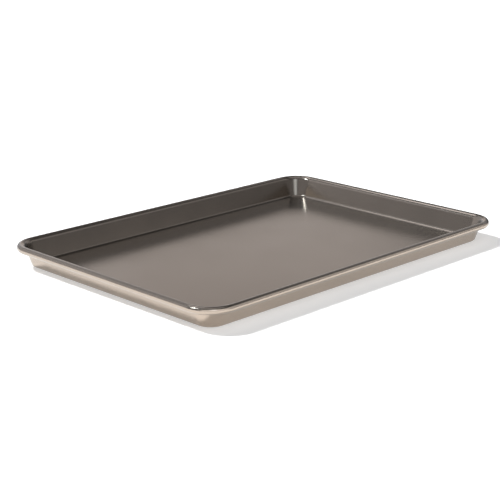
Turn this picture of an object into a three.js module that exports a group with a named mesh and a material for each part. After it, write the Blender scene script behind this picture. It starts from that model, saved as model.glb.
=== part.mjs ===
// Quarter sheet pan: a shallow tray drawn from one steel sheet, with its edge rolled round a wire.
// Millimetres, +Z up. The origin is the middle of the floor's underside, and X runs along the long side.
import * as THREE from 'three';

// Overall size, measured over the rim
const LENGTH = 345;
const WIDTH = 241;
const HEIGHT = 19;
const RIM_CORNER_RADIUS = 24.5; // plan radius of the rim's outer face

// Sheet, with each bend's radius given on the inside of the bend
const SHEET_THICKNESS = 0.8;
const FOOT_BEND_RADIUS = 2.5; // between floor and wall
const SHOULDER_BEND_RADIUS = 4.1; // between wall and rim
const WALL_LEAN_DEGREES = 17.8; // from upright, opening outwards

// Wire, and the rim that is rolled round it
const WIRE_DIAMETER = 3.6;
const WIRE_CLEARANCE = 0.3; // all round, to the sheet
const WIRE_JOINT_GAP = 1; // between the wire's two butted ends
const SEAM_GAP = 0.5; // from the rolled sheet's cut edge to the wall

// Fineness of the facets
const CORNER_STEPS = 8;
const BEND_STEP_DEGREES = 22.5; // at most, in a bend of the section
const WIRE_SIDES = 10;

// Section of the sheet. An inset is measured inwards from the rim's outer face.
const lean = THREE.MathUtils.degToRad(WALL_LEAN_DEGREES);
const rollRadius = WIRE_DIAMETER / 2 + WIRE_CLEARANCE + SHEET_THICKNESS;
const rollZ = HEIGHT - rollRadius;
const rimUnderside = rollZ - rollRadius;
const shoulderRadius = SHOULDER_BEND_RADIUS + SHEET_THICKNESS;
const shoulderZ = HEIGHT - shoulderRadius;
const crestInset = rollRadius; // the shoulder's bend runs into the roll at the top of the rim
const footZ = SHEET_THICKNESS + FOOT_BEND_RADIUS;
const footInset = insetBesideWall(FOOT_BEND_RADIUS, footZ);
const cutEdgeInset = insetBesideWall(-SHEET_THICKNESS, rimUnderside + SHEET_THICKNESS) - SEAM_GAP;

// Centre of each bend in the section
const foot = { inset: footInset, z: footZ };
const shoulder = { inset: crestInset, z: shoulderZ };
const roll = { inset: crestInset, z: rollZ };

// Inset, at height z, of a line that runs beside the wall's inner face, the given distance inwards of it
function insetBesideWall(distance, z) {
  return crestInset + (shoulderZ - z) * Math.tan(lean) + (shoulderRadius + distance) / Math.cos(lean);
}

// Points of one bend in the section, turning from one angle to the other
function bend(centre, radius, fromDegrees, toDegrees) {
  const points = [];
  const steps = Math.ceil(Math.abs(toDegrees - fromDegrees) / BEND_STEP_DEGREES);
  for (let step = 0; step <= steps; step++) {
    const angle = THREE.MathUtils.degToRad(THREE.MathUtils.lerp(fromDegrees, toDegrees, step / steps));
    points.push({ inset: centre.inset + radius * Math.cos(angle), z: centre.z + radius * Math.sin(angle) });
  }
  return points;
}

// Section of one face of the sheet, from the floor to the cut edge. depth 0 is the face inside the pan,
// which becomes the outside of the rim, and depth SHEET_THICKNESS is the other face.
function sheetFace(depth) {
  return [
    ...bend(foot, FOOT_BEND_RADIUS + depth, 270, 180 + WALL_LEAN_DEGREES),
    ...bend(shoulder, shoulderRadius - depth, WALL_LEAN_DEGREES, 90),
    ...bend(roll, rollRadius - depth, 90, 270).slice(1),
    { inset: cutEdgeInset, z: rimUnderside + depth },
  ];
}

// Plan outline at one point of the section: stations of a rounded rectangle, anticlockwise from the +Y side.
// Its corners share the centres of the rim's corners, so they are tighter further in. Each station has its
// place and the direction out of the pan. quarter counts right angles from +X.
function planStations({ inset, z }) {
  const stations = [];
  const radius = RIM_CORNER_RADIUS - inset;
  const centreX = LENGTH / 2 - RIM_CORNER_RADIUS;
  const centreY = WIDTH / 2 - RIM_CORNER_RADIUS;
  for (const [signX, signY, quarter] of [[-1, 1, 1], [-1, -1, 2], [1, -1, 3], [1, 1, 4]]) {
    const centre = new THREE.Vector3(signX * centreX, signY * centreY, z);
    for (let step = 0; step <= CORNER_STEPS; step++) {
      const angle = (quarter + step / CORNER_STEPS) * Math.PI / 2;
      const outward = new THREE.Vector3(Math.cos(angle), Math.sin(angle), 0);
      stations.push({ place: centre.clone().addScaledVector(outward, radius), outward });
    }
  }
  return stations;
}

// Closed solid through a row of rings with equally many points, with a flat cap on the first and last ring
function loft(rings) {
  const size = rings[0].length;
  const indices = [];
  for (let ring = 0; ring + 1 < rings.length; ring++) {
    for (let i = 0; i < size; i++) {
      const a = ring * size + i;
      const b = ring * size + (i + 1) % size;
      indices.push(a, a + size, b + size);
      indices.push(a, b + size, b);
    }
  }
  const last = (rings.length - 1) * size;
  for (let i = 1; i + 1 < size; i++) {
    indices.push(0, i, i + 1);
    indices.push(last, last + i + 1, last + i);
  }
  const geometry = new THREE.BufferGeometry().setFromPoints(rings.flat());
  geometry.setIndex(indices);
  geometry.computeVertexNormals();
  return geometry;
}

// The sheet: its section, out along one face and back along the other, carried round the plan
function panBody() {
  const section = [...sheetFace(0), ...sheetFace(SHEET_THICKNESS).reverse()];
  return loft(section.map((point) => planStations(point).map((station) => station.place)));
}

// One ring of the wire round a station of its route
function wireRing({ place, outward }) {
  const points = [];
  for (let side = 0; side < WIRE_SIDES; side++) {
    const angle = (side / WIRE_SIDES) * 2 * Math.PI;
    const point = place.clone().addScaledVector(outward, (WIRE_DIAMETER / 2) * Math.cos(angle));
    point.z += (WIRE_DIAMETER / 2) * Math.sin(angle);
    points.push(point);
  }
  return points;
}

// The wire lies in the middle of the roll, and its ends meet in the middle of the +Y side
function rimWire() {
  const route = planStations(roll);
  const middle = new THREE.Vector3(0, WIDTH / 2 - roll.inset, roll.z);
  const outward = new THREE.Vector3(0, 1, 0);
  const start = { place: middle.clone().setX(-WIRE_JOINT_GAP / 2), outward };
  const end = { place: middle.clone().setX(WIRE_JOINT_GAP / 2), outward };
  return loft([start, ...route, end].map(wireRing));
}

function named(name, geometry, material) {
  const mesh = new THREE.Mesh(geometry, material);
  mesh.name = name;
  return mesh;
}

const champagneCoat = new THREE.MeshStandardMaterial({ color: 0xb8a48f, roughness: 0.35, metalness: 0.85 });
const drawnSteel = new THREE.MeshStandardMaterial({ color: 0xa3a5a8, roughness: 0.4, metalness: 1 });

const sheetPan = new THREE.Group();
sheetPan.add(named('pan_body', panBody(), champagneCoat));
sheetPan.add(named('rim_wire', rimWire(), drawnSteel));

export default sheetPan;
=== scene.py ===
"""Looks of the quarter sheet pan: its fine surfaces, their finishes, the light and the camera.

Metres, +Z up, in the frame of the CAD: the origin is under the middle of the floor, and X runs along the
long side.
"""
import math

import bpy
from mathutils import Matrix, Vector


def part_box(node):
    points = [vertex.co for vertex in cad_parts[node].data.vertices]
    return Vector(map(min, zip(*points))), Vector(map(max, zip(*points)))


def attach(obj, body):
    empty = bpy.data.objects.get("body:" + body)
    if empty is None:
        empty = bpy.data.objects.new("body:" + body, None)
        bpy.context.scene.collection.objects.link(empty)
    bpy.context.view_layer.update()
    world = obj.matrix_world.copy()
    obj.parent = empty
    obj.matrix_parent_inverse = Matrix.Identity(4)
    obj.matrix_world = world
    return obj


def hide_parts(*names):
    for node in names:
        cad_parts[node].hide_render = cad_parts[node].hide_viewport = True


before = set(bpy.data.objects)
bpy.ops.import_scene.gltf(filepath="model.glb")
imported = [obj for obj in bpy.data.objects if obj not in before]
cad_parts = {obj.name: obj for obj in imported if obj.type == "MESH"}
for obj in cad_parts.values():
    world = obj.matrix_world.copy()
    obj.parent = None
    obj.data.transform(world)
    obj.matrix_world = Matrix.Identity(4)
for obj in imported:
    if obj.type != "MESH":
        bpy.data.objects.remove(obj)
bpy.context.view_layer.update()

MM = 0.001

# Sheet and rim, with each bend's radius given on the inside of the bend
SHEET_THICKNESS = 0.8 * MM
FOOT_BEND_RADIUS = 2.5 * MM
SHOULDER_BEND_RADIUS = 4.1 * MM
WALL_LEAN = math.radians(17.8)
RIM_CORNER_RADIUS = 24.5 * MM
SEAM_GAP = 0.5 * MM
CUT_EDGE_EASE = 0.15 * MM

# Wire in the rim
WIRE_DIAMETER = 3.6 * MM
WIRE_JOINT_GAP = 1 * MM
WIRE_END_CHAMFER = 0.4 * MM

# Fineness of the surfaces
CORNER_STEPS = 24
SIDE_STEPS = 12
BEND_STEPS = 10
ROLL_STEPS = 24
WIRE_SIDES = 24

# Camera, with the image taken as square
CAMERA_LENS_MM = 92.87
CAMERA_SENSOR_MM = 36
CAMERA_DISTANCE = 1.08643
CAMERA_TARGET = Vector((-0.00276, 0.00989, 0))
CAMERA_PITCH = math.radians(16.76)
CAMERA_YAW = math.radians(45.04)

# Table, and the lamps that light it without being mirrored in the pan
TABLE_SIZE = 12
TABLE_DROP = 0.05 * MM
TABLE_WHITE = 0.75
TABLE_GLOW = 0.44
KEY_DIRECTION = Vector((-0.38, 0.78, 1)).normalized()
KEY_STRENGTH = 4.65
KEY_ANGLE = math.radians(9)
FILL_DIRECTION = Vector((-0.1, -0.74, 0.64)).normalized()
FILL_STRENGTH = 1.2
FILL_ANGLE = math.radians(80)

# Champagne coat. The scale of a noise is in features per metre.
COAT_DARK = (0.425, 0.355, 0.294, 1)
COAT_LIGHT = (0.475, 0.395, 0.326, 1)
COAT_EDGE_TINT = (0.88, 0.95, 1, 1)
COAT_ROUGHNESS = (0.19, 0.23)
CLEAR_LAYER_WEIGHT = 0.45
CLEAR_LAYER_ROUGHNESS = 0.5
FLAKE_SCALE = 2200
FLAKE_SHARE = 0.5
CLOUD_SCALE = 22
PEEL_SCALE = 700
PEEL_STRENGTH = 0.3
PEEL_DEPTH = 0.02 * MM

# Steel of the wire
STEEL_DARK = (0.34, 0.345, 0.355, 1)
STEEL_LIGHT = (0.44, 0.445, 0.455, 1)
STEEL_ROUGHNESS = (0.3, 0.5)
STEEL_GRAIN_SCALE = 1500

# Range that most values of a noise lie in
NOISE_LOW = 0.3
NOISE_HIGH = 0.7

# Soft boxes in a dim room, which the pan mirrors, in degrees. Azimuth starts at the camera's view and runs
# clockwise as seen from above. Each box has a colour, the middle and half size of its azimuth, the middle
# and half size of its elevation, a soft edge and a brightness.
WHITE = (1, 1, 1, 1)
WARM = (1, 0.9, 0.85, 1)
COOL = (0.95, 0.985, 1.07, 1)
COLD = (0.86, 1, 1.12, 1)
ROOM_BRIGHTNESS = 0.06
SOFT_BOXES = {
    "backdrop": (WARM, -2, 6, 4, 12, 12, 0.66),
    "ceiling": (COOL, 0, 180, 90, 24, 6, 0.3),
    "left_box": (COOL, -50, 36, 17, 21, 9, 0.44),
    "left_wall": (COOL, -130, 38, 20, 20, 10, 0.19),
    "back_right": (COOL, 28, 16, 35, 7, 5, 0.2),
    "right_low": (COOL, 45, 31, 25, 7, 6, 0.2),
    "right_wall": (COOL, 118, 32, 16, 22, 8, 0.088),
    "right_high": (COOL, 85, 20, 41, 5, 5, 0.25),
    "back_strip": (COOL, -34, 22, 55, 3, 5, 1.5),
    "left_lamp": (COLD, -107, 4, 49.5, 5, 4, 16),
}

# A box that is bright where the pan mirrors it once, with the share of it that is left where it is mirrored
# again, and boxes that show only where they are mirrored again, mostly in the far corner. The ray depth
# tells the two kinds of image apart.
FRONT_STRIP = (COLD, 168, 2, 31, 7, 16, 1.2)
SECOND_IMAGE = 0.12
CORNER_BOXES = {
    "corner_right": (COLD, -162, 6, 35, 5, 8, 0.95),
    "corner_high": (COOL, 165, 35, 52, 5, 8, 0.13),
}
FIRST_IMAGE_DEPTH = 2.5

# White cards that stand close to the pan and show mostly in its near rim. Each has the middle of its lower
# edge, the way it faces from above, its length, its height and its brightness.
CARDS = {
    "side_card": ((0.07, -0.14, 0.019), (0, 1), 0.43, 0.025, 0.53),
    "corner_card": ((-0.187, -0.155, 0.016), (0.42, 0.9), 0.13, 0.05, 1),
}

# Sizes that the frame gives
pan_low, pan_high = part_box("pan_body")
wire_low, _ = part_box("rim_wire")
LENGTH = pan_high.x - pan_low.x
WIDTH = pan_high.y - pan_low.y
HEIGHT = pan_high.z
ROLL_RADIUS = wire_low.x - pan_low.x + WIRE_DIAMETER / 2

# Section of the sheet. An inset is measured inwards from the rim's outer face.
ROLL_Z = HEIGHT - ROLL_RADIUS
RIM_UNDERSIDE = ROLL_Z - ROLL_RADIUS
SHOULDER_RADIUS = SHOULDER_BEND_RADIUS + SHEET_THICKNESS
SHOULDER_Z = HEIGHT - SHOULDER_RADIUS
FOOT_Z = SHEET_THICKNESS + FOOT_BEND_RADIUS


def inset_beside_wall(distance, z):
    """Inset, at height z, of a line that runs beside the wall's inner face, that distance inwards of it."""
    return (ROLL_RADIUS + (SHOULDER_Z - z) * math.tan(WALL_LEAN)
            + (SHOULDER_RADIUS + distance) / math.cos(WALL_LEAN))


FOOT_INSET = inset_beside_wall(FOOT_BEND_RADIUS, FOOT_Z)
CUT_EDGE_INSET = inset_beside_wall(-SHEET_THICKNESS, RIM_UNDERSIDE + SHEET_THICKNESS) - SEAM_GAP


def bend(centre, radius, start, end, steps, hollow):
    """Points of one bend of a face: place and normal in the section."""
    points = []
    for step in range(steps + 1):
        angle = start + (end - start) * step / steps
        direction = Vector((math.cos(angle), math.sin(angle)))
        points.append((Vector(centre) + radius * direction, -direction if hollow else direction))
    return points


def sheet_face(depth):
    """One face of the sheet from the floor to the cut edge: depth 0 is the inside of the pan."""
    inside = depth == 0
    foot = (FOOT_INSET, FOOT_Z)
    shoulder = (ROLL_RADIUS, SHOULDER_Z)
    roll = (ROLL_RADIUS, ROLL_Z)
    level = Vector((0, -1 if inside else 1))
    ease = CUT_EDGE_EASE if inside else -CUT_EDGE_EASE
    edge_z = RIM_UNDERSIDE + depth
    return [
        *bend(foot, FOOT_BEND_RADIUS + depth, 1.5 * math.pi, math.pi + WALL_LEAN, BEND_STEPS, inside),
        *bend(shoulder, SHOULDER_RADIUS - depth, WALL_LEAN, 0.5 * math.pi, BEND_STEPS, not inside),
        *bend(roll, ROLL_RADIUS - depth, 0.5 * math.pi, 1.5 * math.pi, ROLL_STEPS, not inside)[1:],
        (Vector((CUT_EDGE_INSET - CUT_EDGE_EASE, edge_z)), level),
        (Vector((CUT_EDGE_INSET, edge_z + ease)), Vector((1, 0))),
    ]


def corner_point(sign_x, sign_y, outward, inset, z):
    """Place in one corner, out from its centre. All insets share the centres of the rim's corners."""
    centre_x = sign_x * (LENGTH / 2 - RIM_CORNER_RADIUS)
    centre_y = sign_y * (WIDTH / 2 - RIM_CORNER_RADIUS)
    return Vector((centre_x, centre_y, z)) + outward * (RIM_CORNER_RADIUS - inset)


def sheet_column(sign_x, sign_y, angle):
    """Places and normals down the whole section, at one direction round one corner."""
    outward = Vector((math.cos(angle), math.sin(angle), 0))
    column = []
    for place, normal in sheet_face(0) + sheet_face(SHEET_THICKNESS)[::-1]:
        point = corner_point(sign_x, sign_y, outward, place.x, place.y)
        column.append((point, (Vector((0, 0, normal.y)) - normal.x * outward).normalized()))
    return column


def round_corners(make_column):
    """Columns all round the plan, anticlockwise from the +Y side, with the straight sides filled in."""
    corners = []
    for sign_x, sign_y, quarter in ((-1, 1, 1), (-1, -1, 2), (1, -1, 3), (1, 1, 4)):
        angles = [(quarter + step / CORNER_STEPS) * math.pi / 2 for step in range(CORNER_STEPS + 1)]
        corners.append([make_column(sign_x, sign_y, angle) for angle in angles])
    columns = []
    for corner, following in zip(corners, corners[1:] + corners[:1]):
        columns += corner
        for step in range(1, SIDE_STEPS):
            share = step / SIDE_STEPS
            side = zip(corner[-1], following[0])
            columns.append([(here.lerp(there, share), normal) for (here, normal), (there, _) in side])
    return columns


def add_mesh(name, columns, faces):
    """Object from columns of places and normals. Each face lists its corners as column and row."""
    rows = len(columns[0])
    mesh = bpy.data.meshes.new(name)
    places = [place for column in columns for place, _ in column]
    mesh.from_pydata(places, [], [[column * rows + row for column, row in face] for face in faces])
    mesh.validate()
    mesh.shade_smooth()
    mesh.normals_split_custom_set_from_vertices([normal for column in columns for _, normal in column])
    piece = bpy.data.objects.new(name, mesh)
    bpy.context.scene.collection.objects.link(piece)
    return piece


def pan_sheet():
    """The sheet: its section carried round the plan, closed by the two faces of the floor."""
    columns = round_corners(sheet_column)
    count, rows = len(columns), len(columns[0])
    faces = []
    for column in range(count):
        following = (column + 1) % count
        for row in range(rows - 1):
            faces.append([(column, row), (column, row + 1), (following, row + 1), (following, row)])
    faces.append([(column, 0) for column in range(count)])
    faces.append([(column, rows - 1) for column in reversed(range(count))])
    return add_mesh("pan_sheet", columns, faces)


def wire_column(place, outward, radius):
    """One ring round the wire."""
    column = []
    for side in range(WIRE_SIDES):
        angle = side / WIRE_SIDES * 2 * math.pi
        direction = outward * math.cos(angle) + Vector((0, 0, math.sin(angle)))
        column.append((place + radius * direction, direction))
    return column


def rim_core_wire():
    """The wire: it follows the middle of the roll, and its chamfered ends meet midway along the +Y side."""
    radius = WIRE_DIAMETER / 2

    def at_corner(sign_x, sign_y, angle):
        outward = Vector((math.cos(angle), math.sin(angle), 0))
        return wire_column(corner_point(sign_x, sign_y, outward, ROLL_RADIUS, ROLL_Z), outward, radius)

    def at_end(sign_x, back, end_radius):
        place = Vector((sign_x * (WIRE_JOINT_GAP / 2 + back), WIDTH / 2 - ROLL_RADIUS, ROLL_Z))
        return wire_column(place, Vector((0, 1, 0)), end_radius)

    # The last columns fill the +Y side, and the two ends take their place.
    route = round_corners(at_corner)[:-(SIDE_STEPS - 1)]
    first = [at_end(-1, 0, radius - WIRE_END_CHAMFER), at_end(-1, WIRE_END_CHAMFER, radius)]
    last = [at_end(1, WIRE_END_CHAMFER, radius), at_end(1, 0, radius - WIRE_END_CHAMFER)]
    columns = first + route + last
    faces = []
    for column in range(len(columns) - 1):
        ahead = column + 1
        for side in range(WIRE_SIDES):
            following = (side + 1) % WIRE_SIDES
            faces.append([(column, side), (column, following), (ahead, following), (ahead, side)])
    faces.append([(0, side) for side in reversed(range(WIRE_SIDES))])
    faces.append([(len(columns) - 1, side) for side in range(WIRE_SIDES)])
    return add_mesh("rim_core_wire", columns, faces)


def new_material(name):
    """A material with its node tree and its main shader."""
    material = bpy.data.materials.new(name)
    material.use_nodes = True
    return material, material.node_tree, material.node_tree.nodes["Principled BSDF"]


def add_math(tree, operation, *values):
    """A Math node of numbers and sockets."""
    node = tree.nodes.new("ShaderNodeMath")
    node.operation = operation
    for socket, value in zip(node.inputs, values):
        if isinstance(value, (int, float)):
            socket.default_value = value
        else:
            tree.links.new(value, socket)
    return node.outputs["Value"]


def add_noise(tree, coordinates, scale, detail):
    """A noise of one scale."""
    noise = tree.nodes.new("ShaderNodeTexNoise")
    noise.inputs["Scale"].default_value = scale
    noise.inputs["Detail"].default_value = detail
    tree.links.new(coordinates, noise.inputs["Vector"])
    return noise.outputs["Fac"]


def add_range(tree, value, low, high):
    """Stretches a noise's middle values to run from low to high."""
    stretch = tree.nodes.new("ShaderNodeMapRange")
    stretch.inputs["From Min"].default_value = NOISE_LOW
    stretch.inputs["From Max"].default_value = NOISE_HIGH
    stretch.inputs["To Min"].default_value = low
    stretch.inputs["To Max"].default_value = high
    tree.links.new(value, stretch.inputs["Value"])
    return stretch.outputs["Result"]


def add_tone(tree, share, dark, light):
    """Colour that runs from dark to light as the share grows."""
    tone = tree.nodes.new("ShaderNodeMix")
    tone.data_type = "RGBA"
    tone.inputs["A"].default_value = dark
    tone.inputs["B"].default_value = light
    tree.links.new(share, tone.inputs["Factor"])
    return tone.outputs["Result"]


def champagne_coat():
    """Satin metallic non-stick coat: fine flakes, faint clouds of tone and a slight orange peel."""
    material, tree, shader = new_material("champagne_metallic")
    coordinates = tree.nodes.new("ShaderNodeTexCoord").outputs["Object"]
    flakes = add_noise(tree, coordinates, FLAKE_SCALE, detail=1)
    clouds = add_noise(tree, coordinates, CLOUD_SCALE, detail=3)
    peel = add_noise(tree, coordinates, PEEL_SCALE, detail=2)

    faint_clouds = add_range(tree, clouds, 0, 1 - FLAKE_SHARE)
    share = add_math(tree, "MULTIPLY_ADD", flakes, FLAKE_SHARE, faint_clouds)
    tree.links.new(add_tone(tree, share, COAT_DARK, COAT_LIGHT), shader.inputs["Base Color"])

    tree.links.new(add_range(tree, clouds, *COAT_ROUGHNESS), shader.inputs["Roughness"])
    shader.inputs["Metallic"].default_value = 1
    shader.inputs["Specular Tint"].default_value = COAT_EDGE_TINT
    shader.inputs["Coat Weight"].default_value = CLEAR_LAYER_WEIGHT
    shader.inputs["Coat Roughness"].default_value = CLEAR_LAYER_ROUGHNESS

    bump = tree.nodes.new("ShaderNodeBump")
    bump.inputs["Strength"].default_value = PEEL_STRENGTH
    bump.inputs["Distance"].default_value = PEEL_DEPTH
    tree.links.new(peel, bump.inputs["Height"])
    tree.links.new(bump.outputs["Normal"], shader.inputs["Normal"])
    return material


def drawn_steel():
    """Bright steel of the wire, with a fine grain."""
    material, tree, shader = new_material("bright_wire")
    coordinates = tree.nodes.new("ShaderNodeTexCoord").outputs["Object"]
    grain = add_noise(tree, coordinates, STEEL_GRAIN_SCALE, detail=3)
    tree.links.new(add_range(tree, grain, *STEEL_ROUGHNESS), shader.inputs["Roughness"])
    tree.links.new(add_tone(tree, grain, STEEL_DARK, STEEL_LIGHT), shader.inputs["Base Color"])
    shader.inputs["Metallic"].default_value = 1
    return material


def dress(piece, node, material):
    """Puts a piece in its node's place, with its finish."""
    piece.data.materials.append(material)
    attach(piece, "root")
    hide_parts(node)


def table():
    """Plain white table under the pan."""
    material, _, shader = new_material("white_table")
    shader.inputs["Base Color"].default_value = (TABLE_WHITE, TABLE_WHITE, TABLE_WHITE, 1)
    shader.inputs["Roughness"].default_value = 1
    shader.inputs["Specular IOR Level"].default_value = 0
    shader.inputs["Emission Color"].default_value = WHITE
    shader.inputs["Emission Strength"].default_value = TABLE_GLOW
    half = TABLE_SIZE / 2
    signs = ((-1, -1), (1, -1), (1, 1), (-1, 1))
    corners = [(sign_x * half, sign_y * half, -TABLE_DROP) for sign_x, sign_y in signs]
    mesh = bpy.data.meshes.new("table")
    mesh.from_pydata(corners, [], [(0, 1, 2, 3)])
    mesh.materials.append(material)
    floor = bpy.data.objects.new("table", mesh)
    bpy.context.scene.collection.objects.link(floor)


def table_lamp(name, direction, strength, angle):
    """A distant lamp that lights the table and that the pan doesn't mirror."""
    lamp = bpy.data.objects.new(name, bpy.data.lights.new(name, "SUN"))
    lamp.data.energy = strength
    lamp.data.angle = angle
    lamp.rotation_euler = direction.to_track_quat("Z", "Y").to_euler()
    lamp.visible_glossy = False
    bpy.context.scene.collection.objects.link(lamp)


def card(name, foot, facing, length, height, brightness):
    """White card that the near rim mirrors."""
    lamp = bpy.data.objects.new(name, bpy.data.lights.new(name, "AREA"))
    lamp.data.shape = "RECTANGLE"
    lamp.data.size = length
    lamp.data.size_y = height
    lamp.data.energy = brightness * math.pi * length * height
    lamp.location = Vector(foot) + Vector((0, 0, height / 2))
    lamp.rotation_euler = Vector((*facing, 0)).to_track_quat("-Z", "Y").to_euler()
    lamp.visible_camera = False
    lamp.visible_diffuse = False
    bpy.context.scene.collection.objects.link(lamp)


def add_band(tree, offset, half, edge):
    """1 where the offset is less than half to either side, fading to 0 over the edge."""
    fade = tree.nodes.new("ShaderNodeMapRange")
    fade.interpolation_type = "SMOOTHSTEP"
    fade.inputs["From Min"].default_value = math.radians(half + edge)
    fade.inputs["From Max"].default_value = math.radians(half)
    tree.links.new(add_math(tree, "ABSOLUTE", offset), fade.inputs["Value"])
    return fade.outputs["Result"]


def add_light(tree, colour, brightness):
    """Background light of one colour."""
    light = tree.nodes.new("ShaderNodeBackground")
    light.inputs["Color"].default_value = colour
    tree.links.new(brightness, light.inputs["Strength"])
    return light.outputs[0]


def add_lights(tree, first, second):
    """Both lights together."""
    both = tree.nodes.new("ShaderNodeAddShader")
    tree.links.new(first, both.inputs[0])
    tree.links.new(second, both.inputs[1])
    return both.outputs[0]


def add_box(tree, azimuth, elevation, box):
    """Light of a soft box."""
    colour, turn, half_width, height, half_height, edge, strength = box
    sideways = add_math(tree, "SUBTRACT", azimuth, math.radians(turn))
    across = add_band(tree, add_math(tree, "WRAP", sideways, math.pi, -math.pi), half_width, edge)
    above = add_math(tree, "SUBTRACT", elevation, math.radians(height))
    upward = add_band(tree, above, half_height, edge)
    brightness = add_math(tree, "MULTIPLY", add_math(tree, "MULTIPLY", across, upward), strength)
    return add_light(tree, colour, brightness)


def room():
    """Dim room with soft boxes in it, white where the camera looks past the table."""
    world = bpy.data.worlds.new("room")
    world.use_nodes = True
    tree = world.node_tree
    axes = tree.nodes.new("ShaderNodeSeparateXYZ")
    tree.links.new(tree.nodes.new("ShaderNodeTexCoord").outputs["Generated"], axes.inputs[0])
    bearing = add_math(tree, "ARCTAN2", axes.outputs["X"], axes.outputs["Y"])
    azimuth = add_math(tree, "SUBTRACT", bearing, CAMERA_YAW)
    elevation = add_math(tree, "ARCSINE", axes.outputs["Z"])
    path = tree.nodes.new("ShaderNodeLightPath")
    walls = add_math(tree, "MAXIMUM", path.outputs["Is Camera Ray"], ROOM_BRIGHTNESS)
    light = add_light(tree, WHITE, walls)
    for box in SOFT_BOXES.values():
        light = add_lights(tree, light, add_box(tree, azimuth, elevation, box))
    first_image = add_lights(tree, light, add_box(tree, azimuth, elevation, FRONT_STRIP))
    second_image = light
    for box in CORNER_BOXES.values():
        second_image = add_lights(tree, second_image, add_box(tree, azimuth, elevation, box))
    once = add_math(tree, "LESS_THAN", path.outputs["Ray Depth"], FIRST_IMAGE_DEPTH)
    image = tree.nodes.new("ShaderNodeMixShader")
    tree.links.new(add_math(tree, "MAXIMUM", once, SECOND_IMAGE), image.inputs[0])
    tree.links.new(second_image, image.inputs[1])
    tree.links.new(first_image, image.inputs[2])
    tree.links.new(image.outputs[0], tree.nodes["World Output"].inputs["Surface"])
    world.cycles_visibility.diffuse = False
    bpy.context.scene.world = world


def camera():
    """The photograph's view."""
    forward = Vector((math.sin(CAMERA_YAW) * math.cos(CAMERA_PITCH),
                      math.cos(CAMERA_YAW) * math.cos(CAMERA_PITCH),
                      -math.sin(CAMERA_PITCH)))
    view = bpy.data.objects.new("camera", bpy.data.cameras.new("camera"))
    view.data.sensor_width = CAMERA_SENSOR_MM
    view.data.lens = CAMERA_LENS_MM
    view.location = CAMERA_TARGET - CAMERA_DISTANCE * forward
    view.rotation_euler = forward.to_track_quat("-Z", "Y").to_euler()
    bpy.context.scene.collection.objects.link(view)
    bpy.context.scene.camera = view


dress(pan_sheet(), "pan_body", champagne_coat())
dress(rim_core_wire(), "rim_wire", drawn_steel())
table()
table_lamp("key_light", KEY_DIRECTION, KEY_STRENGTH, KEY_ANGLE)
table_lamp("fill_light", FILL_DIRECTION, FILL_STRENGTH, FILL_ANGLE)
for name, values in CARDS.items():
    card(name, *values)
room()
camera()
bpy.context.scene.view_settings.view_transform = "Standard"
